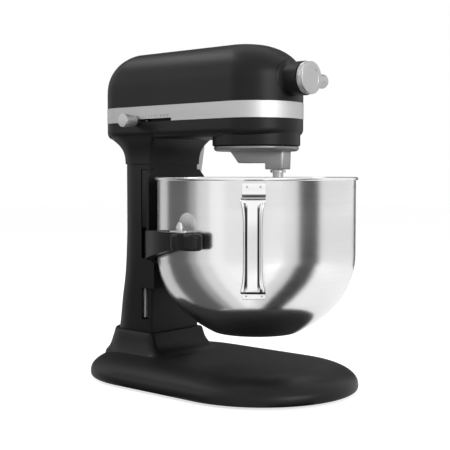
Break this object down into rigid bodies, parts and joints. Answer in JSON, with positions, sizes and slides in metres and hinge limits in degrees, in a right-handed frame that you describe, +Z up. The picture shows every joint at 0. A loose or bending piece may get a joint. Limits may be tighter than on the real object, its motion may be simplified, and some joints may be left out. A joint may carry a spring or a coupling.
{
  "type": "bowl-lift stand mixer",
  "caption": "Stand mixer with a loaf-shaped head on a column, a steel bowl on a lifting yoke, a planetary beater drive and a front power hub.",
  "frame": {"origin": "on the table, under the middle of the whole object's bounding box", "axes": "+X to the front, where the power hub points, +Y to the side of the lift lever, +Z up"},
  "size_m": [0.3724, 0.2866, 0.4186],
  "materials": {
    "black_casting": "satin black enamel",
    "plate": "plain sheet steel",
    "rubber": "matte",
    "steel": "ground",
    "bowl_steel": "brushed round the bowl",
    "bright_trim": "satin",
    "cast_arm": "as cast",
    "bronze": "turned",
    "black_plastic": "moulded",
    "green_board": "board"
  },
  "bodies": {
    "frame": {"base_casting": "black_casting", "base_plate": "plate", "rubber_feet": "rubber", "foot_screws": "steel", "column_housing": "black_casting", "guide_rail_right": "steel", "guide_rail_left": "steel", "cord_inlet": "black_plastic", "lever_bush": "bronze", "head_housing": "black_casting", "head_cover": "black_casting", "trim_band": "bright_trim", "ring_gear": "steel", "centre_bearing": "bronze", "hub_bearing": "bronze", "motor_cradle": "cast_arm", "pinion_stand": "cast_arm", "motor_bearings": "steel", "motor_stator": "plate", "field_coils": "bronze", "brush_holders": "black_plastic", "carbon_brushes": "black_plastic", "slot_shield": "black_plastic", "control_board": "green_board", "speed_switch": "black_plastic"},
    "yoke": {"bowl_yoke": "black_casting", "locating_pins": "steel"},
    "bowl": {"bowl": "bowl_steel", "bowl_handle": "bowl_steel", "bowl_ears": "bowl_steel"},
    "lift_lever": {"lift_lever": "bright_trim", "lift_crank": "steel"},
    "speed_lever": {"speed_lever": "bright_trim", "speed_slide": "black_plastic"},
    "hub_cap": {"hub_cap": "bright_trim"},
    "clamp_screw": {"clamp_screw": "bright_trim"},
    "planetary": {"planet_carrier": "cast_arm", "drip_ring": "bright_trim", "centre_shaft": "steel", "crown_gear": "steel"},
    "beater": {"beater_shaft": "steel", "planet_gear": "steel", "drive_pin": "steel"},
    "rotor": {"motor_shaft": "steel", "armature": "plate", "commutator": "bronze", "cooling_fan": "black_plastic", "motor_pinion": "steel"},
    "take_off": {"hub_shaft": "steel", "hub_pinion": "steel"}
  },
  "joints": [
    {"name": "yoke_lift", "type": "slide", "parent": "frame", "child": "yoke", "axis": [0, 0, 1], "range_m": [-0.026, 0]},
    {"name": "lever_swing", "type": "hinge", "parent": "frame", "child": "lift_lever", "pos_m": [-0.111, 0.06, 0.1948], "axis": [0, -1, 0], "range_deg": [0, 100]},
    {"name": "bowl_lift_off", "type": "slide", "parent": "yoke", "child": "bowl", "axis": [0, 0, 1], "range_m": [0, 0.02]},
    {"name": "speed_set", "type": "slide", "parent": "frame", "child": "speed_lever", "axis": [1, 0, 0], "range_m": [0, 0.05]},
    {"name": "hub_cap_pull", "type": "slide", "parent": "frame", "child": "hub_cap", "axis": [1, 0, 0], "range_m": [0, 0.06]},
    {"name": "clamp_turn", "type": "hinge", "parent": "frame", "child": "clamp_screw", "pos_m": [0.122, 0.03, 0.3736], "axis": [0, 1, 0], "range_deg": [0, 720]},
    {"name": "planetary_spin", "type": "hinge", "parent": "frame", "child": "planetary", "pos_m": [0.06, 0, 0.29], "axis": [0, 0, 1], "continuous": true},
    {"name": "beater_spin", "type": "hinge", "parent": "planetary", "child": "beater", "pos_m": [0.08631, 0.00958, 0.27], "axis": [0, 0, 1], "continuous": true},
    {"name": "motor_spin", "type": "hinge", "parent": "frame", "child": "rotor", "pos_m": [0, 0, 0.3736], "axis": [1, 0, 0], "continuous": true},
    {"name": "hub_spin", "type": "hinge", "parent": "frame", "child": "take_off", "pos_m": [0.096, 0, 0.3736], "axis": [1, 0, 0], "continuous": true}
  ],
  "couplings": [
    {"joint": "lever_swing", "follows": "yoke_lift", "rad_per_m": -67.1},
    {"joint": "beater_spin", "follows": "planetary_spin", "ratio": -3},
    {"joint": "motor_spin", "follows": "planetary_spin", "ratio": -3},
    {"joint": "hub_spin", "follows": "planetary_spin", "ratio": 3}
  ]
}
